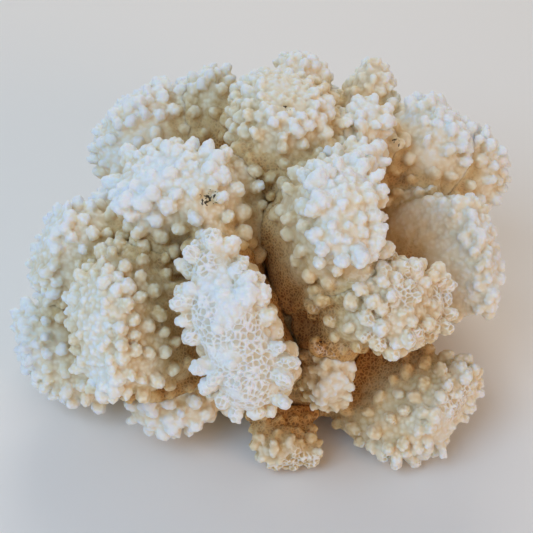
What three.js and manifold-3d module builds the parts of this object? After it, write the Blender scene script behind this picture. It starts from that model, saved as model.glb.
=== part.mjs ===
// Cauliflower coral: the dried skeleton of a small branching stony coral colony.
//
// A short stock was cut off flat where it grew on the reef. Thick blades fork out of it in every
// direction. Each blade is narrow and plain at its root and widens to a blunt, rounded crest, and
// the crests together make a low dome. The frame is in millimetres with +Z up, the origin is at
// the middle of the flat cut, and -Y is the front.
import * as THREE from "three";
import Module from "manifold-3d";
import { mergeVertices } from "three/addons/utils/BufferGeometryUtils.js";

const wasm = await Module();
wasm.setup();

// Driving dimensions.
const HEART = new THREE.Vector3(0, 0, 14); // the point that every blade grows away from
const STOCK = { footRadius: 33, waistRadius: 45, waistHeight: 20, topRadius: 33, topHeight: 46, height: 54 };
const STOCK_STEPS = { side: 6, round: 24 }; // facets up the stock's side and round it
const FLOOR_GAP = 3; // the blades stop this far above the surface that the stock stands on
const SEAM_GAP = 0.35; // clearance where one blade is trimmed by another
const ROOT_SHARE = 0.33; // a blade's solid starts this share of the way from the heart to its crest
const ROOT_WIDTH = 0.5; // a blade's width at the heart, as a share of its crest's length
const BLUNTNESS = 2.6; // superellipse exponent of a blade's cross-section: 2 is an ellipse
const SIMPLIFY = 0.18; // facets flatter than this are merged
const NARROWEST = 0.15; // a blade's width at the very top of its rim, as a share of its crest's length
const RING_POINTS = 13; // points round each of a blade's cross-sections
const RINGS = 8; // cross-sections from a blade's root to its rim

// Each blade: the two ends and the middle of its crest line, its thickness at the crest's two ends,
// and its thickness at the stem. A blade is trimmed by the ones listed above it.
const BLADES = {
  front_tall: { crest: [[-19, -42, 92], [-12, -66, 74], [1, -81, 45]], thick: [26, 37], stem: 18 },
  front_knob: { crest: [[11, -19, 104], [25, -37, 99], [20, -54, 83]], thick: [39, 29], stem: 18 },
  front_kidney: { crest: [[18, -52, 68], [40, -53, 71], [62, -38, 60]], thick: [33, 33], stem: 18 },
  right_fan: { crest: [[44, 8, 67], [68, -6, 73], [76, -34, 48]], thick: [18, 18], stem: 18 },
  low_right: { crest: [[33, -61, 8], [55, -58, 16], [72, -42, 36]], thick: [28, 28], stem: 18 },
  low_front_right: { crest: [[19, -45, 51], [23, -55, 38], [20, -57, 24]], thick: [14, 17], stem: 14 },
  low_front: { crest: [[-7, -58, 14], [5, -61, 10], [20, -60, 8]], thick: [14, 14], stem: 14 },
  left_shoulder: { crest: [[-54, -20, 85], [-32, -17, 97], [-8, -28, 93]], thick: [34, 34], stem: 18 },
  left_front: { crest: [[-42, -38, 80], [-56, -50, 62], [-43, -69, 42]], thick: [36, 36], stem: 18 },
  left_low: { crest: [[-78, -24, 46], [-84, -29, 30], [-61, -46, 15]], thick: [28, 28], stem: 18 },
  left_side: { crest: [[-59, -12, 80], [-73, -15, 64], [-78, -24, 46]], thick: [30, 30], stem: 18 },
  low_left: { crest: [[-46, -52, 28], [-36, -54, 20], [-20, -54, 29]], thick: [24, 24], stem: 16 },
  crown: { crest: [[4, 41, 97], [7, 9, 107], [10, -14, 101]], thick: [38, 38], stem: 20 },
  crown_left: { crest: [[-33, 34, 86], [-22, 46, 92], [-9, 46, 92]], thick: [28, 28], stem: 18 },
  back_left: { crest: [[-62, 18, 73], [-49, 37, 86], [-28, 46, 90]], thick: [27, 27], stem: 18 },
  crown_bud: { crest: [[25, -16, 94], [32, -9, 97], [40, -12, 91]], thick: [18, 18], stem: 12 },
  crown_right: { crest: [[25, 20, 97], [34, 15, 97], [44, 6, 92]], thick: [26, 26], stem: 18 },
  right_shoulder: { crest: [[45, 26, 91], [60, 30, 88], [74, 18, 74]], thick: [32, 32], stem: 18 },
  right_back: { crest: [[68, 36, 81], [82, 29, 71], [80, 12, 54]], thick: [31, 28], stem: 18 },
  crown_back: { crest: [[-1, 56, 86], [10, 58, 91], [26, 54, 81]], thick: [26, 26], stem: 16 },
  crown_back_right: { crest: [[27, 50, 85], [38, 54, 91], [49, 44, 82]], thick: [28, 28], stem: 16 },
  rear_left: { crest: [[-68, 34, 48], [-60, 50, 34], [-44, 62, 20]], thick: [30, 30], stem: 18 },
  rear_left_high: { crest: [[-50, 50, 68], [-38, 62, 60], [-28, 72, 40]], thick: [28, 28], stem: 18 },
  rear_middle: { crest: [[-4, 74, 70], [-4, 82, 50], [-12, 82, 26]], thick: [32, 32], stem: 18 },
  rear_right_high: { crest: [[20, 72, 66], [40, 66, 60], [56, 54, 58]], thick: [30, 30], stem: 18 },
  rear_right: { crest: [[74, 38, 46], [64, 52, 32], [48, 64, 22]], thick: [30, 30], stem: 18 },
  rear_low: { crest: [[8, 80, 18], [20, 78, 28], [36, 72, 26]], thick: [24, 24], stem: 18 },
  right_low: { crest: [[72, 26, 40], [78, 14, 32], [74, 2, 24]], thick: [22, 22], stem: 18 },
  left_rear_low: { crest: [[-82, 0, 40], [-83, 14, 30], [-75, 28, 26]], thick: [24, 24], stem: 18 },
};

const MATERIAL = { color: 0xefe6d2, roughness: 0.85, metalness: 0 };

// A closed three.js geometry as a manifold solid.
function solidOf(geometry) {
  const bare = geometry.clone();
  bare.deleteAttribute("normal");
  bare.deleteAttribute("uv");
  const merged = mergeVertices(bare, 1e-3);
  return new wasm.Manifold(
    new wasm.Mesh({
      numProp: 3,
      vertProperties: new Float32Array(merged.attributes.position.array),
      triVerts: new Uint32Array(merged.index.array),
    }),
  );
}

// A manifold solid as a three.js geometry.
function geometryOf(solid) {
  const mesh = solid.getMesh();
  const geometry = new THREE.BufferGeometry();
  geometry.setAttribute("position", new THREE.BufferAttribute(mesh.vertProperties, mesh.numProp));
  geometry.setIndex(new THREE.BufferAttribute(mesh.triVerts, 1));
  geometry.computeVertexNormals();
  return geometry;
}

// The largest of a solid's separate bodies.
function largest(solid) {
  return solid.decompose().reduce((a, b) => (a.volume() > b.volume() ? a : b));
}

// The short trunk, turned about Z, with its foot cut flat at Z = 0.
function stock(clearance) {
  const { footRadius, waistRadius, waistHeight, topRadius, topHeight, height } = STOCK;
  const side = new THREE.SplineCurve([
    new THREE.Vector2(footRadius, 0),
    new THREE.Vector2(waistRadius, waistHeight),
    new THREE.Vector2(topRadius, topHeight),
    new THREE.Vector2(0, height),
  ]).getPoints(STOCK_STEPS.side);
  side[side.length - 1].x = 0;
  const profile = [new THREE.Vector2(0, 0), ...side].map(
    (p) => new THREE.Vector2(p.x > 0 ? p.x + clearance : 0, p.y > 0 ? p.y + clearance : -clearance),
  );
  return solidOf(new THREE.LatheGeometry(profile, STOCK_STEPS.round).rotateX(Math.PI / 2));
}

// The space that no blade reaches down into: a slab whose top is just above the ground.
function belowBlades() {
  const slab = { side: 400, depth: 100 };
  const box = new THREE.BoxGeometry(slab.side, slab.side, slab.depth);
  return solidOf(box.translate(0, 0, FLOOR_GAP - slab.depth / 2));
}

// The half-thickness, width share and place along the growth line of a ring of a blade's solid.
// Below the shoulder the rings swell from stem to crest; above it they round over the rim.
function ring(latitude, rim, stem, crestLength, reach) {
  const shoulder = 1 - rim / reach;
  if (latitude >= 0) {
    return {
      place: shoulder + (rim / reach) * Math.sin(latitude),
      width: Math.max(1 - ((2 * rim) / crestLength) * (1 - Math.cos(latitude)), NARROWEST),
      half: rim * Math.cos(latitude),
    };
  }
  const grown = 1 + latitude / (Math.PI / 2);
  return {
    place: THREE.MathUtils.lerp(ROOT_SHARE, shoulder, grown),
    width: 1,
    half: THREE.MathUtils.lerp(stem / 2, rim, THREE.MathUtils.smoothstep(grown, 0, 1)),
  };
}

// cos or sin on a superellipse, which squares a cross-section's ends off.
function blunted(value) {
  return Math.sign(value) * Math.abs(value) ** (2 / BLUNTNESS);
}

// One blade: a sphere whose rings become the blade's cross-sections, from its root to its crest.
function blade({ crest, thick, stem }, clearance) {
  const line = new THREE.CatmullRomCurve3(crest.map((p) => new THREE.Vector3(...p)));
  const crestLength = line.getLength();
  const middle = line.getPointAt(0.5);
  const sphere = new THREE.SphereGeometry(1, RING_POINTS, RINGS);
  const at = sphere.getAttribute("position");
  const unit = new THREE.Vector3();
  for (let i = 0; i < at.count; i++) {
    unit.fromBufferAttribute(at, i);
    const atPole = Math.hypot(unit.x, unit.z) < 1e-6;
    const latitude = Math.asin(THREE.MathUtils.clamp(unit.y, -1, 1));
    const around = Math.atan2(unit.z, unit.x);
    const reach = middle.distanceTo(HEART);
    const turn = atPole ? 0 : blunted(Math.cos(around));
    const rim = THREE.MathUtils.lerp(thick[0], thick[1], (1 + turn) / 2) / 2;
    const { place, width, half } = ring(latitude, rim, stem, crestLength, reach);
    const along = (turn * width) / 2;
    const across = atPole ? 0 : blunted(Math.sin(around)) * (half + clearance);
    const tip = line.getPointAt(0.5 + along);
    const tangent = line.getTangentAt(0.5 + along);
    const root = HEART.clone().addScaledVector(tip.clone().sub(middle), ROOT_WIDTH);
    const growth = tip.clone().sub(root);
    const side = new THREE.Vector3().crossVectors(tangent, growth).normalize();
    const point = root
      .addScaledVector(growth, place + (latitude > 0 ? clearance / reach : 0))
      .addScaledVector(side, across)
      .addScaledVector(tangent, Math.sign(along) * clearance);
    at.setXYZ(i, point.x, point.y, point.z);
  }
  const made = solidOf(sphere);
  return made.volume() < 0 ? solidOf(flipped(sphere)) : made;
}

// The same geometry with its faces turned over.
function flipped(geometry) {
  const index = geometry.index.array;
  for (let i = 0; i < index.length; i += 3) {
    [index[i + 1], index[i + 2]] = [index[i + 2], index[i + 1]];
  }
  return geometry;
}

const coral = new THREE.Group();

function addPiece(name, solid) {
  const piece = new THREE.Mesh(geometryOf(solid), new THREE.MeshStandardMaterial(MATERIAL));
  piece.name = name;
  coral.add(piece);
}

addPiece("stock", stock(0));
const taken = [stock(SEAM_GAP), belowBlades()];
for (const [name, spec] of Object.entries(BLADES)) {
  let solid = blade(spec, 0);
  for (const other of taken) {
    solid = solid.subtract(other);
  }
  addPiece(`${name}_blade`, largest(solid).simplify(SIMPLIFY));
  taken.push(blade(spec, SEAM_GAP));
}

export default coral;
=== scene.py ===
"""The looks of a dried cauliflower coral colony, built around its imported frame.

The colony is a short stock and the blades that fork from it. Each blade is grown here in the way
that the animal grew it: a smooth core, knobs (verrucae) that stand out from it and lean the way
the blade grew, and a skin of cups (corallites) between thin walls. Everything is in metres in the
frame's own axes, with +Z up, -Y to the front and the origin in the middle of the flat cut.
"""

import logging
import math
from dataclasses import dataclass, field
from enum import Enum

import bmesh
import bpy
import numpy as np
from mathutils import Matrix, Vector, noise
from mathutils.bvhtree import BVHTree


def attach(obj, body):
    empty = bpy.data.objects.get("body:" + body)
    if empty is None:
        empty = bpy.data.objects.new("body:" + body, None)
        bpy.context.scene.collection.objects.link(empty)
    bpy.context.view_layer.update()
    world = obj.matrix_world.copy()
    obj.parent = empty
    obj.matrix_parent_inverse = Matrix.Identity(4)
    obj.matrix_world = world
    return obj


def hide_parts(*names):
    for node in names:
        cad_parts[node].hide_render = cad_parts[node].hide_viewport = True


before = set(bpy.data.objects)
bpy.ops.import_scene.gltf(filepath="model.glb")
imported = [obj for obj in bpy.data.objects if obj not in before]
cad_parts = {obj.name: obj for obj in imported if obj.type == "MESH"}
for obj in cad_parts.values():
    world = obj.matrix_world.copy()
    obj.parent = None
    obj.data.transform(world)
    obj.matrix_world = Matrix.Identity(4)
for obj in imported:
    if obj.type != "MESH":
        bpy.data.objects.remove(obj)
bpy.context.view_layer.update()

log = logging.getLogger("coral")

MM = 0.001  # metres in a millimetre
HEART = np.array((0.0, 0.0, 14 * MM))  # the point that every blade grows away from
SURROUND = 26  # rounds of averaging that smooth a knob away, to leave the surface round it
DOUBLES = 0.01 * MM  # corners closer than this are one
COLOUR_LINE = (0.04045, 12.92)  # sRGB is a straight line below the first number, with this slope

# Where dark specks lie on the colony: a place and a radius, in millimetres.
STAINS = [
    ((-17, -27, 89), 6),
    ((-15, -32, 82), 4),
    ((6, 0, 104), 4),
    ((42, 10, 84), 5),
    ((16, -48, 49), 3),
]


class Grain(Enum):
    """How finely a blade's surface is meshed, as the side of a voxel in millimetres."""

    FINEST = 0.36
    FINE = 0.42
    MIDDLE = 0.55
    COARSE = 0.75


def linear(hex_colour: str) -> tuple[float, float, float, float]:
    """Turns an sRGB hex colour into linear RGBA.

    Args:
        hex_colour: six hex digits, such as "f0e6d0".

    Returns:
        The linear colour with an alpha of 1.
    """
    channels = [int(hex_colour[i : i + 2], 16) / 255 for i in (0, 2, 4)]
    end, slope = COLOUR_LINE
    return (*(c / slope if c <= end else ((c + 0.055) / 1.055) ** 2.4 for c in channels), 1.0)


def smoothstep(low: float, high: float, value: np.ndarray | float) -> np.ndarray | float:
    """Rises smoothly from 0 at low to 1 at high.

    Args:
        low: where the rise starts.
        high: where it ends; it may be below low, for a fall.
        value: the number or numbers to map.

    Returns:
        The mapped number or numbers.
    """
    t = np.clip((value - low) / (high - low), 0.0, 1.0)
    return t * t * (3 - 2 * t)


def points_of(mesh: bpy.types.Mesh) -> np.ndarray:
    """The mesh's vertices as an array.

    Args:
        mesh: the mesh to read.

    Returns:
        Rows of X, Y and Z, in metres.
    """
    flat = np.zeros(len(mesh.vertices) * 3, np.float32)
    mesh.vertices.foreach_get("co", flat)
    return flat.reshape(-1, 3).astype(float)


def normals_of(mesh: bpy.types.Mesh) -> np.ndarray:
    """The mesh's vertex normals as an array.

    Args:
        mesh: the mesh to read.

    Returns:
        Rows of X, Y and Z.
    """
    flat = np.zeros(len(mesh.vertices) * 3, np.float32)
    mesh.vertex_normals.foreach_get("vector", flat)
    return flat.reshape(-1, 3).astype(float)


def move_points(mesh: bpy.types.Mesh, points: np.ndarray) -> None:
    """Puts the mesh's vertices at the given rows of X, Y and Z."""
    mesh.vertices.foreach_set("co", points.astype(np.float32).ravel())
    mesh.update()


def store(mesh: bpy.types.Mesh, name: str, values: np.ndarray) -> None:
    """Stores one number for each vertex as an attribute that materials read."""
    attribute = mesh.attributes.new(name, "FLOAT", "POINT")
    attribute.data.foreach_set("value", values.astype(np.float32))


def new_piece(name: str, mesh: bpy.types.Mesh) -> bpy.types.Object:
    """Makes an object of a mesh whose vertices are already in place.

    Args:
        name: the piece's name.
        mesh: its mesh.

    Returns:
        The object, at the origin and in the scene.
    """
    piece = bpy.data.objects.new(name, mesh)
    bpy.context.scene.collection.objects.link(piece)
    return piece


def copy_of_node(node: str, name: str) -> bpy.types.Object:
    """Copies a node's solid, with its doubled corners merged.

    Args:
        node: the node's name.
        name: the copy's name.

    Returns:
        The copy as an object of its own.
    """
    shape = bmesh.new()
    shape.from_mesh(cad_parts[node].data)
    bmesh.ops.remove_doubles(shape, verts=shape.verts, dist=DOUBLES)
    mesh = bpy.data.meshes.new(name)
    shape.to_mesh(mesh)
    shape.free()
    return new_piece(name, mesh)


def dress(piece: bpy.types.Object, material: bpy.types.Material) -> None:
    """Gives a piece its only material and smooth shading.

    Args:
        piece: the finished piece.
        material: the finish it is given.
    """
    piece.data.materials.clear()
    piece.data.materials.append(material)
    piece.data.polygons.foreach_set("use_smooth", np.ones(len(piece.data.polygons), bool))


def finish_with(piece: bpy.types.Object, kind: str, **settings: float | int | bool | str) -> None:
    """Adds a modifier to a piece and applies it to the piece's mesh.

    Args:
        piece: the piece to change.
        kind: the modifier's type.
        **settings: the modifier's settings.
    """
    modifier = piece.modifiers.new(kind.title(), kind)
    for name, value in settings.items():
        setattr(modifier, name, value)
    graph = bpy.context.evaluated_depsgraph_get()
    changed = bpy.data.meshes.new_from_object(piece.evaluated_get(graph))
    old = piece.data
    piece.modifiers.clear()
    piece.data = changed
    changed.name = piece.name
    bpy.data.meshes.remove(old)


def cell_pattern(points: np.ndarray, spacing: float) -> tuple[np.ndarray, np.ndarray]:
    """Where points lie in a pattern of irregular cells.

    Args:
        points: rows of X, Y and Z, in metres.
        spacing: the distance between cell centres, in metres.

    Returns:
        Each point's distance to its cell's centre, and to its cell's wall (0 on it), in cells.
    """
    near = np.array([noise.voronoi(row)[0][:2] for row in points / spacing])
    return near[:, 0], near[:, 1] - near[:, 0]


def cloud(points: np.ndarray, wavelength: float, shift: float = 0.0) -> np.ndarray:
    """Smooth noise from about -1 to 1.

    Args:
        points: rows of X, Y and Z, in metres.
        wavelength: the size of its lumps, in metres.
        shift: a number that picks another piece of the same noise.

    Returns:
        One number for each point.
    """
    scaled = points / wavelength + shift
    return np.array([noise.noise(row) for row in scaled])


def spread_out(mesh: bpy.types.Mesh, values: np.ndarray, rounds: int) -> np.ndarray:
    """Averages values over the surface, each vertex with its neighbours.

    Args:
        mesh: the mesh whose edges join the vertices.
        values: one row for each vertex.
        rounds: how many times each vertex takes its neighbours' average.

    Returns:
        The averaged rows.
    """
    ends = np.zeros(len(mesh.edges) * 2, np.int32)
    mesh.edges.foreach_get("vertices", ends)
    first, second = ends.reshape(-1, 2).T
    count = np.bincount(ends, minlength=len(values)).astype(float)
    rows = values.reshape(len(values), -1).copy()
    for _ in range(rounds):
        for column in range(rows.shape[1]):
            value = rows[:, column]
            total = np.bincount(first, value[second], len(values))
            total += np.bincount(second, value[first], len(values))
            rows[:, column] = 0.5 * value + 0.5 * total / count
    return rows.reshape(values.shape)


@dataclass(frozen=True)
class Knobs:
    """Sizes of a blade's knobs (verrucae), in millimetres."""

    radius: float = 2.1
    length: float = 4.2  # on the shoulders, where they stand out furthest
    crest_length: float = 1.2
    spacing: float = 4.6
    lean: float = 0.3  # how much they turn the way the blade grows
    splay: float = 0.7  # how much they turn away from the middle of the crest
    reach: float = 34.0  # how far below the crest the last knobs stand
    bare_crest: float = 0.0  # the share of knobs left out along the crest's top
    rim_only: bool = False  # whether the broad faces stay plain
    clear: float = 1.3  # how near to another blade they may stand
    buried: float = 1.4  # how deep their feet reach into the core
    tries: float = 0.35  # places tried for them on each square millimetre of the core
    gaps: float = 0.35  # the share of them missing at the foot of the flanks


@dataclass(frozen=True)
class Site:
    """Where one knob stands."""

    place: np.ndarray
    normal: np.ndarray
    depth: float  # millimetres below the crest


@dataclass(frozen=True)
class Cups:
    """Sizes of the cups (corallites), in millimetres.

    Young cups are closed over and look like grains. Open ones are hollows between thin walls.
    """

    spacing: float = 1.5
    depth: float = 0.4
    flank_share: float = 0.3  # the cups' depth on the flanks, as a share of that at the crest
    comb: float = 0.0  # how open they are along the crest, from grains to a comb of walls


@dataclass
class Blade:
    """One blade of the colony: its core, its knobs and its skin of cups, sized in millimetres."""

    node: str
    grain: Grain = Grain.MIDDLE
    knobs: Knobs = field(default_factory=Knobs)
    cups: Cups = field(default_factory=Cups)
    seed: int = 0
    core_voxel: float = 1.3
    crest_inset: float = 1.6  # how far the core lies inside the solid at the crest
    flank_inset: float = 0.7  # how far it does on the flanks, as a share of the knobs' length
    seam_swell: float = 1.0  # how far it swells past the solid where it meets another blade
    lumps: float = 1.5  # how far the core's lumps stand in and out
    rough: float = 0.3  # how far the skin's finer lumps do
    near: float = 13.0  # how far aside of a point its crest is looked for
    floor: float = 0.6  # no part of the skin hangs lower than this
    keep: float = 0.6  # the share of its faces that the finished piece keeps
    fade: float = 0.8  # how soon the finish turns tan below the crest
    valley_shade: float = 8.0  # how much darker and tanner it is drawn where two blades meet: painted shade
    tint: float = 0.0  # how much darker and tanner all of it is drawn: partly its own tone, partly painted shade on blades that sit in shade
    dirt: float = 10.0  # how much older it looks where specks lie
    tips: np.ndarray = field(init=False, repr=False)
    others: BVHTree = field(init=False, repr=False)

    def __post_init__(self) -> None:
        """Reads the blade's own points, and the solids round it, from the frame."""
        self.tips = points_of(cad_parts[self.node].data) - HEART
        corners, faces = [], []
        for name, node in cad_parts.items():
            if name != self.node:
                faces += [[i + len(corners) for i in p.vertices] for p in node.data.polygons]
                corners += [v.co.copy() for v in node.data.vertices]
        self.others = BVHTree.FromPolygons(corners, faces)

    def below_crest(self, points: np.ndarray) -> np.ndarray:
        """How far points lie below the blade's crest, along its growth.

        Args:
            points: rows of X, Y and Z.

        Returns:
            The depths in millimetres.
        """
        batch = 4096
        out = np.empty(len(points))
        lengths = np.einsum("ij,ij->i", self.tips, self.tips)
        for start in range(0, len(points), batch):
            rays = points[start : start + batch] - HEART
            distance = np.linalg.norm(rays, axis=1)
            along = (rays / distance[:, None]) @ self.tips.T
            aside = np.sqrt(np.maximum(lengths - along**2, 0))
            reach = np.where(aside < self.near * MM, along, 0).max(axis=1)
            out[start : start + batch] = np.maximum(reach - distance, 0) / MM
        return out

    def growth(self, points: np.ndarray) -> np.ndarray:
        """The unit directions in which the blade grows at the given points."""
        rays = points - HEART
        return rays / np.linalg.norm(rays, axis=1)[:, None]

    def from_others(self, points: np.ndarray) -> np.ndarray:
        """How far points are from the colony's other blades and stock, in millimetres."""
        return np.array([self.others.find_nearest(row)[3] for row in points]) / MM

    def core(self) -> bpy.types.Object:
        """Rounds a copy of the blade's solid into its smooth, lumpy core.

        Returns:
            The core's object.
        """
        core = copy_of_node(self.node, self.node + "_core")
        finish_with(core, "REMESH", mode="VOXEL", voxel_size=self.core_voxel * MM)
        finish_with(core, "SMOOTH", factor=0.5, iterations=12)
        points, normals = points_of(core.data), normals_of(core.data)
        depth = self.below_crest(points)
        exposed = smoothstep(44, 22, depth) * smoothstep(0.5, 3.5, self.from_others(points))
        lumps = cloud(points, 11 * MM, self.seed) * self.lumps
        flank = smoothstep(0.9, 0.5, np.einsum("ij,ij->i", normals, self.growth(points)))
        inset = self.crest_inset + (self.knobs.length * self.flank_inset - self.crest_inset) * flank
        shift = self.seam_swell * (1 - exposed) + exposed * (lumps - inset)
        move_points(core.data, points + normals * (shift * MM)[:, None])
        finish_with(core, "SMOOTH", factor=0.5, iterations=2)
        return core

    def sites(self, core: bpy.types.Object, rng: np.random.Generator) -> list[Site]:
        """Chooses where the knobs stand, spread evenly but without a pattern.

        Args:
            core: the blade's core.
            rng: the blade's source of random numbers.

        Returns:
            The knobs' sites.
        """
        mesh = core.data
        mesh.calc_loop_triangles()
        corners = np.zeros(len(mesh.loop_triangles) * 3, np.int32)
        mesh.loop_triangles.foreach_get("vertices", corners)
        points, normals = points_of(mesh), normals_of(mesh)
        a, b, c = (points[corners.reshape(-1, 3)[:, i]] for i in range(3))
        area = np.linalg.norm(np.cross(b - a, c - a), axis=1) / 2
        tries = int(area.sum() / MM**2 * self.knobs.tries)
        chosen = rng.choice(len(area), tries, p=area / area.sum())
        u, v = rng.random(tries), rng.random(tries)
        u, v = np.where(u + v > 1, 1 - u, u), np.where(u + v > 1, 1 - v, v)
        places = a[chosen] + u[:, None] * (b - a)[chosen] + v[:, None] * (c - a)[chosen]
        normal = normals[corners.reshape(-1, 3)[chosen, 0]]
        depth = self.below_crest(places)
        spacing = self.knobs.spacing * (0.56 + 0.6 * smoothstep(1, 15, depth)) * MM
        kept = np.empty((0, 3))
        found = []
        for i in range(tries):
            missing = self.knobs.gaps * smoothstep(12, 34, depth[i])
            if depth[i] > self.knobs.reach or rng.random() < missing:
                continue
            if self.others.find_nearest(places[i])[3] < self.knobs.clear * MM:
                continue
            if len(kept) and (np.linalg.norm(kept - places[i], axis=1) < spacing[i]).any():
                continue
            kept = np.vstack([kept, places[i]])
            found.append(Site(places[i], normal[i], depth[i]))
        return found

    def away_from_middle(self, places: np.ndarray) -> np.ndarray:
        """Which way leads away from the middle of the blade's crest.

        Args:
            places: rows of X, Y and Z.

        Returns:
            Their directions, which fade out close to the middle.
        """
        middle = self.tips[self.below_crest(self.tips + HEART) < 1].mean(axis=0)
        outward = np.linalg.norm(places - HEART, axis=1) / np.linalg.norm(middle)
        aside = places - HEART - middle * outward[:, None]
        return aside / np.maximum(np.linalg.norm(aside, axis=1), 4 * MM)[:, None]

    def knob(
        self, ball: np.ndarray, site: Site, grow: np.ndarray, out: np.ndarray, rng: np.random.Generator
    ) -> np.ndarray:
        """Shapes one knob: a blunt stub that leans the way the blade grows.

        Args:
            ball: the corners of a unit ball, which the stub is made from.
            site: where it stands.
            grow: the direction in which the blade grows there.
            out: the direction away from the middle of the crest.
            rng: the blade's source of random numbers.

        Returns:
            The stub's corners, in metres.
        """
        knobs = self.knobs
        facing = site.normal @ grow
        crest = smoothstep(0.78, 0.98, facing)
        low = smoothstep(knobs.reach * 0.35, knobs.reach, site.depth)
        lean = knobs.lean + 0.3 * smoothstep(0.7, 0.0, facing)
        splay = knobs.splay * smoothstep(0.2, 0.7, facing)
        heading = Vector(site.normal * (1 - lean) + grow * lean + out * splay).normalized()
        radius = knobs.radius * rng.uniform(0.75, 1.2) * (1 - 0.38 * crest)
        length = knobs.length * rng.uniform(0.6, 1.15)
        length = length * (1 - crest) + knobs.crest_length * rng.uniform(0.4, 1.3) * crest
        length *= 1 - 0.55 * low
        half = (length + knobs.buried) / 2
        turn = Vector((0, 0, 1)).rotation_difference(heading).to_matrix()
        turn = turn @ Matrix.Rotation(rng.uniform(0, math.tau), 3, "Z")
        size = np.array((radius * rng.uniform(0.85, 1.0), radius * rng.uniform(1.0, 1.25), half))
        power = rng.uniform(2.0, 3.2)
        across = np.linalg.norm(ball[:, :2], axis=1)
        around = np.arctan2(ball[:, 1], ball[:, 0])
        corner = 1 + 0.06 * np.cos(rng.integers(3, 6) * around + rng.uniform(0, math.tau))
        stub = ball / ((across**power + np.abs(ball[:, 2]) ** power) ** (1 / power))[:, None]
        taper = (1 + rng.uniform(-0.25, 0.1) * stub[:, 2]) * corner
        tilt = rng.normal(0, 0.15, 2)
        stretched = stub * size * np.stack([taper, taper, np.ones(len(stub))], 1)
        stretched[:, 2] += (stub[:, :2] @ tilt) * radius * np.maximum(stub[:, 2], 0)
        centre = site.place + np.array(heading) * (half - knobs.buried) * MM
        return stretched * MM @ np.array(turn).T + centre

    def knob_mesh(self, core: bpy.types.Object) -> bpy.types.Mesh:
        """Grows the knobs as stretched copies of one small ball.

        Args:
            core: the blade's core.

        Returns:
            All the blade's knobs as one mesh.
        """
        rng = np.random.default_rng(self.seed + 100)
        found = self.sites(core, rng)
        round_one = bmesh.new()
        bmesh.ops.create_icosphere(round_one, subdivisions=2, radius=1.0)
        ball = np.array([v.co for v in round_one.verts])
        faces = np.array([[v.index for v in f.verts] for f in round_one.faces])
        round_one.free()
        places = np.array([site.place for site in found])
        vertices = []
        for site, grow, out in zip(found, self.growth(places), self.away_from_middle(places)):
            facing = site.normal @ grow
            bare = rng.random() < smoothstep(0.6, 0.8, facing) * self.knobs.bare_crest
            if bare or (self.knobs.rim_only and facing < 0.2):
                continue
            vertices.append(self.knob(ball, site, grow, out, rng))
        mesh = bpy.data.meshes.new(self.node + "_knobs")
        corners = np.concatenate([faces + i * len(ball) for i in range(len(vertices))])
        mesh.from_pydata(np.concatenate(vertices), [], corners)
        return mesh

    def fuse(self, core: bpy.types.Object, knobs: bpy.types.Mesh) -> bpy.types.Object:
        """Joins the core and its knobs into one closed surface.

        Args:
            core: the blade's core, which is used up.
            knobs: the mesh of its knobs, which is used up.

        Returns:
            The joined piece.
        """
        joined = bmesh.new()
        joined.from_mesh(core.data)
        joined.from_mesh(knobs)
        mesh = bpy.data.meshes.new(self.node + "_skin")
        joined.to_mesh(mesh)
        joined.free()
        bpy.data.objects.remove(core)
        bpy.data.meshes.remove(knobs)
        piece = new_piece(self.node + "_skin", mesh)
        voxel = self.grain.value
        finish_with(piece, "REMESH", mode="VOXEL", voxel_size=voxel * MM)
        finish_with(piece, "SMOOTH", factor=0.5, iterations=2)
        return piece

    def sink_cups(self, piece: bpy.types.Object) -> None:
        """Sinks the cups into the surface and leaves their walls standing, with finer lumps.

        Args:
            piece: the blade's fused piece.
        """
        points, normals = points_of(piece.data), normals_of(piece.data)
        depth = self.below_crest(points)
        bent = points + np.stack([cloud(points, 2.6 * MM, 11.0 + i) for i in range(3)], 1) * 0.5 * MM
        centre, gap = cell_pattern(bent, self.cups.spacing * MM)
        crest = smoothstep(20, 5, depth)
        strength = self.cups.depth * (self.cups.flank_share + (1 - self.cups.flank_share) * crest)
        strength *= smoothstep(45, 25, depth)
        proud, facing = self.standing(piece.data)
        opened = self.cups.comb * smoothstep(24, 12, depth) * smoothstep(0.5, 0.85, facing)
        opened *= smoothstep(1.3, 0.5, proud) * smoothstep(-0.3, 0.1, cloud(points, 9 * MM, self.seed + 3.0))
        store(piece.data, "comb", opened)
        hollow = smoothstep(0.03, 0.3, gap) * opened + smoothstep(0.2, 0.75, centre) * (1 - opened)
        wall = 0.5 - hollow
        store(piece.data, "cup", hollow)
        rough = cloud(points, 3.1 * MM, self.seed + 7) * self.rough
        moved = points + normals * ((wall * strength + rough) * MM)[:, None]
        moved[:, 2] = np.maximum(moved[:, 2], self.floor * MM)
        move_points(piece.data, moved)

    def standing(self, mesh: bpy.types.Mesh) -> tuple[np.ndarray, np.ndarray]:
        """How each vertex stands against the surface round it.

        Args:
            mesh: the blade's mesh.

        Returns:
            How far it stands proud, in millimetres, and how far the surface faces the way the
            blade grows, from -1 to 1.
        """
        points, normals = points_of(mesh), normals_of(mesh)
        proud = np.einsum("ij,ij->i", points - spread_out(mesh, points, SURROUND), normals) / MM
        facing = np.einsum("ij,ij->i", spread_out(mesh, normals, SURROUND), self.growth(points))
        return proud, facing

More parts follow.
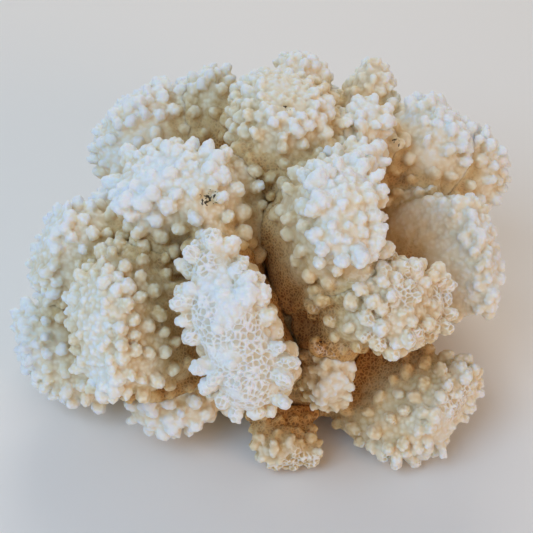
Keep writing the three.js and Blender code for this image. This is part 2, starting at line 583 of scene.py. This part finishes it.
    def mark(self, piece: bpy.types.Object) -> None:
        """Stores what the finish reads besides the cups: how old and how shaded each place is drawn, the
        specks, and how far it stands proud.

        Args:
            piece: the finished piece.
        """
        points = points_of(piece.data)
        depth = self.below_crest(points)
        # Painted shade: darker and tanner close to the other blades, where they meet and shade each other.
        valley_shade = smoothstep(9, 0.5, self.from_others(points)) * smoothstep(3, 14, depth)
        stain = np.zeros(len(points))
        for place, radius in STAINS:
            away = np.linalg.norm(points - np.array(place) * MM, axis=1) / MM
            stain = np.maximum(stain, smoothstep(radius, radius * 0.3, away))
        store(piece.data, "stain", stain)
        # Depth below the crest, which is partly the flanks' own tan and partly painted shade, plus painted
        # shade where blades meet, the blade's tint, and the specks' darker tone.
        age = depth * self.fade + valley_shade * self.valley_shade + self.tint + stain * self.dirt
        store(piece.data, "depth", age)
        store(piece.data, "proud", self.standing(piece.data)[0])

    def build(self, material: bpy.types.Material) -> bpy.types.Object:
        """Makes the blade and puts it in the place of its node.

        Args:
            material: the finish it is given.

        Returns:
            The blade's object.
        """
        core = self.core()
        piece = self.fuse(core, self.knob_mesh(core))
        self.sink_cups(piece)
        finish_with(piece, "DECIMATE", ratio=self.keep)
        self.mark(piece)
        dress(piece, material)
        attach(piece, "root")
        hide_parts(self.node)
        return piece


@dataclass
class Stock:
    """The short trunk, cut off flat where the colony grew on the reef."""

    node: str = "stock"
    voxel: float = 0.9
    lumps: float = 2.4  # how far its bark of old growth stands in and out, in millimetres
    age: float = 27.0  # how tan the finish draws it, given as a depth below a crest

    def build(self, material: bpy.types.Material) -> bpy.types.Object:
        """Makes the stock and puts it in the place of its node.

        Args:
            material: the finish it is given.

        Returns:
            The stock's object.
        """
        piece = copy_of_node(self.node, "stock_skin")
        finish_with(piece, "REMESH", mode="VOXEL", voxel_size=self.voxel * MM)
        finish_with(piece, "SMOOTH", factor=0.5, iterations=3)
        points, normals = points_of(piece.data), normals_of(piece.data)
        side = smoothstep(0.5, 3.0, points[:, 2] / MM)
        rough = cloud(points, 13 * MM, 3.0) * self.lumps + cloud(points, 4 * MM, 5.0) * 0.8 - 0.4
        moved = points + normals * (rough * side * MM)[:, None]
        moved[:, 2] = np.maximum(moved[:, 2], 0.0)
        moved[points[:, 2] < 0.6 * MM, 2] = 0.0
        move_points(piece.data, moved)
        around = spread_out(piece.data, moved, SURROUND)
        store(piece.data, "proud", np.einsum("ij,ij->i", moved - around, normals) / MM)
        store(piece.data, "depth", np.full(len(points), self.age))
        dress(piece, material)
        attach(piece, "root")
        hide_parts(self.node)
        return piece


def add_node(
    tree: bpy.types.NodeTree,
    kind: str,
    settings: dict | None = None,
    links: dict | None = None,
) -> bpy.types.Node:
    """Adds a node to a tree with its settings and links.

    Args:
        tree: the node tree.
        kind: the node's type, without "ShaderNode".
        settings: its properties by name, and its sockets' values by socket name or number.
        links: the sockets that feed it, by its own socket's name or number.

    Returns:
        The node.
    """
    node = tree.nodes.new("ShaderNode" + kind)
    for name, value in (settings or {}).items():
        if isinstance(name, str) and hasattr(node, name):
            setattr(node, name, value)
        else:
            node.inputs[name].default_value = value
    for name, socket in (links or {}).items():
        tree.links.new(socket, node.inputs[name])
    return node


def span(low: float, high: float, first: float, last: float) -> dict[str, float]:
    """Names the ends of a range that is mapped to another.

    Args:
        low: where the first range starts.
        high: where it ends.
        first: what low becomes.
        last: what high becomes.

    Returns:
        The four ends by their sockets' names.
    """
    return {"From Min": low, "From Max": high, "To Min": first, "To Max": last}


@dataclass(frozen=True)
class SkeletonFinish:
    """Bleached coral skeleton: matte aragonite, white where it is thin and tan where it is deep.

    The crests grew last and bleached clean, so they are white. Further down, the cream, tan and brown are
    partly the flanks' own older colour and partly painted shade, which deepens between the blades, between
    the knobs, in the cups and in the pores; the cup walls and proud knobs get a painted highlight. Light
    soaks into the chalky surface and softens every edge.
    """

    name: str = "bleached_aragonite"
    crest: str = "edf3f6"
    cream: str = "ede4cd"
    tan: str = "d8c092"
    amber: str = "d0a568"
    brown: str = "b4834a"
    wall: str = "f9fbfa"  # painted highlight on the thin walls between open cups
    hollow: str = "d6c7a4"  # painted shade on the floors of open cups
    pore: str = "7a5228"  # painted shade in the pores
    speck: str = "2a2018"
    patch_size: float = 14.0  # mm across the patches that look older or younger
    pore_spacing: float = 1.15  # mm between the pores in the flanks
    speck_size: float = 1.1  # mm
    sugar_size: float = 0.45  # mm between the crystals that glint like sugar
    roughness: float = 0.75

    def age(
        self,
        tree: bpy.types.NodeTree,
        where: bpy.types.NodeSocket,
        depth: bpy.types.NodeSocket,
        proud: bpy.types.NodeSocket,
        cup: bpy.types.NodeSocket,
    ) -> bpy.types.NodeSocket:
        """Says how old and how shaded the surface is drawn: crests are the youngest, knobs that stand proud
        get a painted highlight, and the hollows between knobs and the cups get painted shade.

        Args:
            tree: the material's tree.
            where: the place on the colony.
            depth: how far the place lies below a crest.
            proud: how far it stands out.
            cup: how deep it lies in a cup.

        Returns:
            How old and how shaded the surface is drawn, in millimetres of growth.
        """
        patches = add_node(
            tree, "TexNoise", {"Scale": 1 / (self.patch_size * MM), "Detail": 3.0}, {"Vector": where}
        ).outputs["Fac"]
        age = depth
        # Random patches of older and younger tone, then a painted highlight on proud knobs with painted
        # shade between them, and painted shade in the cups.
        for source, ends in (
            (patches, span(0.25, 0.75, -6.0, 6.0)),
            (proud, span(1.0, -0.8, -5.5, 5.5)),
            (cup, span(0.0, 1.0, -1.0, 1.5)),
        ):
            tone_and_shade = add_node(tree, "MapRange", ends, {"Value": source}).outputs["Result"]
            age = add_node(tree, "Math", {"operation": "ADD"}, {0: age, 1: tone_and_shade}).outputs[0]
        return age

    def aged_and_shaded(self, tree: bpy.types.NodeTree, age: bpy.types.NodeSocket) -> bpy.types.NodeSocket:
        """Colours the skeleton by how old and how shaded it is drawn, from white crests to brown hollows.

        Args:
            tree: the material's tree.
            age: how old and how shaded the surface is drawn.

        Returns:
            The colour.
        """
        share = add_node(tree, "MapRange", span(0.0, 60.0, 0.0, 1.0), {"Value": age}).outputs["Result"]
        ramp = add_node(tree, "ValToRGB", links={"Fac": share})
        elements = ramp.color_ramp.elements
        # White at the crests, through cream and tan, to brown deep in: partly the skeleton's own colour,
        # partly painted shade.
        stops = (
            (0.02, self.crest),
            (0.14, self.cream),
            (0.3, self.tan),
            (0.52, self.amber),
            (0.8, self.brown),
        )
        while len(elements) < len(stops):
            elements.new(0.5)
        for element, (place, colour) in zip(elements, stops):
            element.position = place
            element.color = linear(colour)
        return ramp.outputs["Color"]

    def cupped(
        self,
        tree: bpy.types.NodeTree,
        colour: bpy.types.NodeSocket,
        cup: bpy.types.NodeSocket,
        comb: bpy.types.NodeSocket,
    ) -> tuple[bpy.types.NodeSocket, bpy.types.NodeSocket]:
        """Draws open cups: a painted highlight on their thin walls and painted shade in the shallow hollows
        between them.

        Args:
            tree: the material's tree.
            colour: the colour so far.
            cup: how deep a place lies in a cup.
            comb: how open the cups are.

        Returns:
            The colour, and how much of a wall each place is.
        """
        layers = []
        for ends, strength in ((span(0.5, 1.0, 0.0, 1.0), 0.45), (span(0.05, 0.6, 1.0, 0.0), 0.8)):
            share = add_node(tree, "MapRange", ends, {"Value": cup}).outputs["Result"]
            layer = add_node(tree, "Math", {"operation": "MULTIPLY"}, {0: share, 1: comb}).outputs[0]
            drawn = add_node(tree, "Math", {"operation": "MULTIPLY", 1: strength}, {0: layer}).outputs[0]
            layers.append((layer, drawn))
        (_, cup_floor_shade), (wall, walls) = layers
        # Painted shade on the cup floors, then a painted highlight on the walls.
        colour = add_node(
            tree,
            "Mix",
            {"data_type": "RGBA", "blend_type": "MULTIPLY", 7: linear(self.hollow)},
            {0: cup_floor_shade, 6: colour},
        ).outputs[2]
        colour = add_node(
            tree, "Mix", {"data_type": "RGBA", 7: linear(self.wall)}, {0: walls, 6: colour}
        ).outputs[2]
        return colour, wall

    def pitted(
        self,
        tree: bpy.types.NodeTree,
        where: bpy.types.NodeSocket,
        age: bpy.types.NodeSocket,
        colour: bpy.types.NodeSocket,
    ) -> tuple[bpy.types.NodeSocket, bpy.types.NodeSocket]:
        """Draws pores in the flanks as painted shade: small dark pits, plainer the deeper they lie.

        Args:
            tree: the material's tree.
            where: the place on the colony.
            age: how old and how shaded the surface is drawn.
            colour: the colour so far.

        Returns:
            The colour, and how much of a pit each place is.
        """
        edge = add_node(
            tree,
            "TexVoronoi",
            {"feature": "DISTANCE_TO_EDGE", "Scale": 1 / (self.pore_spacing * MM)},
            {"Vector": where},
        ).outputs["Distance"]
        inside = add_node(tree, "MapRange", span(0.06, 0.26, 0.0, 1.0), {"Value": edge}).outputs["Result"]
        old = add_node(tree, "MapRange", span(16.0, 34.0, 0.0, 1.0), {"Value": age}).outputs["Result"]
        pit = add_node(tree, "Math", {"operation": "MULTIPLY"}, {0: inside, 1: old}).outputs[0]
        drawn = add_node(tree, "Math", {"operation": "MULTIPLY", 1: 0.6}, {0: pit}).outputs[0]
        # Painted shade: the pits are darkened, more where the surface is drawn old and shaded.
        colour = add_node(
            tree,
            "Mix",
            {"data_type": "RGBA", "blend_type": "MULTIPLY", 7: linear(self.pore)},
            {0: drawn, 6: colour},
        ).outputs[2]
        return colour, pit

    def specked(
        self,
        tree: bpy.types.NodeTree,
        where: bpy.types.NodeSocket,
        stain: bpy.types.NodeSocket,
        colour: bpy.types.NodeSocket,
    ) -> bpy.types.NodeSocket:
        """Draws specks, almost black, where something once lived on the colony.

        Args:
            tree: the material's tree.
            where: the place on the colony.
            stain: how thickly specks lie there.
            colour: the colour so far.

        Returns:
            The colour.
        """
        spots = add_node(
            tree, "TexNoise", {"Scale": 1 / (self.speck_size * MM), "Detail": 2.0}, {"Vector": where}
        ).outputs["Fac"]
        thick = add_node(tree, "MapRange", span(0.0, 1.0, -0.5, 0.0), {"Value": stain}).outputs["Result"]
        spots = add_node(tree, "Math", {"operation": "ADD"}, {0: spots, 1: thick}).outputs[0]
        spots = add_node(tree, "MapRange", span(0.53, 0.57, 0.0, 0.93), {"Value": spots}).outputs["Result"]
        return add_node(
            tree, "Mix", {"data_type": "RGBA", 7: linear(self.speck)}, {0: spots, 6: colour}
        ).outputs[2]

    def relief(
        self,
        tree: bpy.types.NodeTree,
        where: bpy.types.NodeSocket,
        wall: bpy.types.NodeSocket,
        pit: bpy.types.NodeSocket,
    ) -> bpy.types.NodeSocket:
        """Roughens the surface with crystals, raises the walls and sinks the pores.

        Args:
            tree: the material's tree.
            where: the place on the colony.
            wall: how much of a wall each place is.
            pit: how much of a pit it is.

        Returns:
            The bumped normal.
        """
        sugar = add_node(
            tree, "TexNoise", {"Scale": 1 / (self.sugar_size * MM), "Detail": 2.0}, {"Vector": where}
        ).outputs["Fac"]
        height = add_node(tree, "Math", {"operation": "MULTIPLY", 1: 0.6}, {0: sugar}).outputs[0]
        height = add_node(tree, "Math", {"operation": "ADD"}, {0: wall, 1: height}).outputs[0]
        height = add_node(tree, "Math", {"operation": "SUBTRACT"}, {0: height, 1: pit}).outputs[0]
        return add_node(
            tree, "Bump", {"Strength": 0.7, "Distance": 0.3 * MM}, {"Height": height}
        ).outputs["Normal"]

    def material(self) -> bpy.types.Material:
        """Builds the finish as a node material.

        Returns:
            The material.
        """
        material = bpy.data.materials.new(self.name)
        material.use_nodes = True
        tree = material.node_tree
        tree.nodes.clear()
        where = add_node(tree, "TexCoord").outputs["Object"]
        depth, proud, cup, comb, stain = (
            add_node(tree, "Attribute", {"attribute_name": name}).outputs["Fac"]
            for name in ("depth", "proud", "cup", "comb", "stain")
        )
        age = self.age(tree, where, depth, proud, cup)
        colour, wall = self.cupped(tree, self.aged_and_shaded(tree, age), cup, comb)
        colour, pit = self.pitted(tree, where, age, colour)
        colour = self.specked(tree, where, stain, colour)
        shader = add_node(
            tree,
            "BsdfPrincipled",
            {
                "Roughness": self.roughness,
                "IOR": 1.5,
                "Subsurface Weight": 0.75,
                "Subsurface Radius": (1.0, 0.85, 0.6),
                "Subsurface Scale": 3.2 * MM,
                "Specular IOR Level": 0.25,
            },
            {"Base Color": colour, "Normal": self.relief(tree, where, wall, pit)},
        )
        add_node(tree, "OutputMaterial", links={"Surface": shader.outputs["BSDF"]})
        return material


@dataclass
class Studio:
    """The plain pale floor, the soft lights and the camera."""

    elevation: float = 40.0
    distance: float = 0.400
    target: Vector = field(default_factory=lambda: Vector((0, 0, 0.040)))
    lens: float = 80.0
    paper: str = "f1f0ee"
    air: str = "f4f4f4"
    air_strength: float = 0.3

    def floor(self) -> None:
        """Lays a pale floor with a matte finish under the colony."""
        sheet = bmesh.new()
        bmesh.ops.create_grid(sheet, x_segments=1, y_segments=1, size=4.0)
        mesh = bpy.data.meshes.new("studio_floor")
        sheet.to_mesh(mesh)
        sheet.free()
        floor = new_piece("studio_floor", mesh)
        material = bpy.data.materials.new("matte_paper")
        material.use_nodes = True
        shader = material.node_tree.nodes["Principled BSDF"]
        shader.inputs["Base Color"].default_value = linear(self.paper)
        shader.inputs["Roughness"].default_value = 0.9
        mesh.materials.append(material)

    def light(
        self, name: str, place: Vector, size: float, power: float, colour: str, aim: Vector | None = None
    ) -> None:
        """Adds one soft square light.

        Args:
            name: the light's name.
            place: where it stands.
            size: its side in metres.
            power: its power in watts.
            colour: its sRGB hex colour.
            aim: what it points at; the colony when left out.
        """
        lamp = bpy.data.lights.new(name, "AREA")
        lamp.size = size
        lamp.energy = power
        lamp.color = linear(colour)[:3]
        holder = bpy.data.objects.new(name, lamp)
        holder.location = place
        holder.rotation_euler = ((aim or self.target) - place).to_track_quat("-Z", "Y").to_euler()
        bpy.context.scene.collection.objects.link(holder)

    def camera(self) -> None:
        """Places the camera in front of the colony, looking down on it."""
        lens = bpy.data.cameras.new("camera")
        lens.lens = self.lens
        lens.sensor_width = 36.0
        lens.clip_start, lens.clip_end = 0.01, 20.0
        camera = bpy.data.objects.new("camera", lens)
        tilt = math.radians(self.elevation)
        back = Vector((0, -math.cos(tilt), math.sin(tilt)))
        camera.location = self.target + back * self.distance
        camera.rotation_euler = (-back).to_track_quat("-Z", "Y").to_euler()
        bpy.context.scene.collection.objects.link(camera)
        bpy.context.scene.camera = camera

    def build(self) -> None:
        """Sets up the floor, the surrounding light, the lamps and the camera."""
        self.floor()
        world = bpy.data.worlds.new("studio_air")
        world.use_nodes = True
        air = world.node_tree.nodes["Background"]
        air.inputs["Color"].default_value = linear(self.air)
        air.inputs["Strength"].default_value = self.air_strength
        bpy.context.scene.world = world
        bpy.context.scene.view_settings.view_transform = "Standard"
        self.light("overhead", Vector((-0.36, -0.46, 0.68)), 0.5, 3.8, "b9daf9")
        self.light("front_fill", Vector((0.6, -0.7, 0.42)), 0.45, 2.5, "ffc48c")
        self.light("backdrop", Vector((0.0, 1.3, 0.9)), 0.8, 9.0, "fff6ea", Vector((0.0, 0.7, 0.0)))
        self.camera()


FRONT = Knobs(radius=2.2, length=5.0, spacing=4.4, bare_crest=0.4, reach=24)
TALL = Knobs(radius=2.75, length=6.6, spacing=5.4, splay=1.0, bare_crest=0.75, reach=22)
BROAD = Knobs(radius=2.5, length=5.2, spacing=5.2)
SHORT = Knobs(radius=1.8, length=2.6, spacing=3.7)
FAN = Knobs(radius=1.9, length=3.2, spacing=3.5, reach=16, rim_only=True, clear=0.5)
KNOBBY = Knobs(radius=2.4, length=5.4, spacing=4.7, splay=0.9, reach=24)
COMB = Cups(1.75, 0.5, comb=1.0)
# A blade's tint darkens all of it, partly as painted shade, heaviest on the low front blades, which sit in
# shade; its valley setting sets the painted shade where it meets the other blades.
BLADES = [
    Blade("front_tall_blade", Grain.FINEST, TALL, COMB, seed=1),
    Blade("front_knob_blade", Grain.FINE, KNOBBY, Cups(1.75, 0.5, comb=0.6), seed=2),
    Blade("front_kidney_blade", Grain.FINEST, KNOBBY, COMB, seed=3, fade=1.0, tint=5),
    Blade("right_fan_blade", Grain.MIDDLE, FAN, seed=4, fade=0.6, tint=3),
    Blade("low_right_blade", Grain.FINEST, FRONT, COMB, seed=5, tint=4),
    Blade("low_front_right_blade", Grain.MIDDLE, SHORT, seed=6, fade=1.0, tint=8),
    Blade("low_front_blade", Grain.MIDDLE, SHORT, COMB, seed=7, fade=1.2, tint=11),
    Blade("left_shoulder_blade", Grain.FINE, BROAD, seed=8, fade=0.7),
    Blade("left_front_blade", Grain.FINE, seed=9, fade=0.7, tint=5),
    Blade("left_low_blade", Grain.MIDDLE, seed=10, fade=0.6, tint=1),
    Blade("left_side_blade", Grain.MIDDLE, seed=11, fade=0.7, tint=2),
    Blade("low_left_blade", Grain.MIDDLE, seed=12, tint=2),
    Blade("crown_blade", Grain.MIDDLE, seed=13, fade=0.7, tint=5),
    Blade("crown_left_blade", Grain.MIDDLE, seed=14, fade=0.7, tint=3),
    Blade("back_left_blade", Grain.MIDDLE, seed=15, fade=0.6),
    Blade("crown_bud_blade", Grain.MIDDLE, seed=16, fade=0.6, tint=1),
    Blade("crown_right_blade", Grain.MIDDLE, seed=17, fade=0.6, tint=2),
    Blade("right_shoulder_blade", Grain.MIDDLE, seed=18, fade=0.5, valley_shade=7),
    Blade("right_back_blade", Grain.MIDDLE, seed=19, fade=0.6, tint=1),
    Blade("crown_back_blade", Grain.MIDDLE, SHORT, seed=20, fade=0.6, tint=3),
    Blade("crown_back_right_blade", Grain.MIDDLE, SHORT, seed=21, fade=0.6, tint=2),
    Blade("rear_left_blade", Grain.COARSE, seed=22),
    Blade("rear_left_high_blade", Grain.COARSE, seed=23),
    Blade("rear_middle_blade", Grain.COARSE, seed=24),
    Blade("rear_right_high_blade", Grain.COARSE, seed=25),
    Blade("rear_right_blade", Grain.COARSE, seed=26),
    Blade("rear_low_blade", Grain.COARSE, seed=27),
    Blade("right_low_blade", Grain.COARSE, seed=28),
    Blade("left_rear_low_blade", Grain.COARSE, seed=29),
]


def main() -> None:
    """Builds the colony and the studio, and reports each piece."""
    logging.basicConfig(level=logging.INFO, format="%(message)s")
    Studio().build()
    material = SkeletonFinish().material()
    stock = Stock().build(SkeletonFinish(name="sawn_aragonite").material())
    log.info("stock: %d faces", len(stock.data.polygons))
    total = 0
    for blade in BLADES:
        piece = blade.build(material)
        count = sum(len(p.vertices) - 2 for p in piece.data.polygons)
        total += count
        log.info("%s: %d triangles", blade.node, count)
    log.info("all: %d triangles", total)


if __name__ == "__main__":
    main()
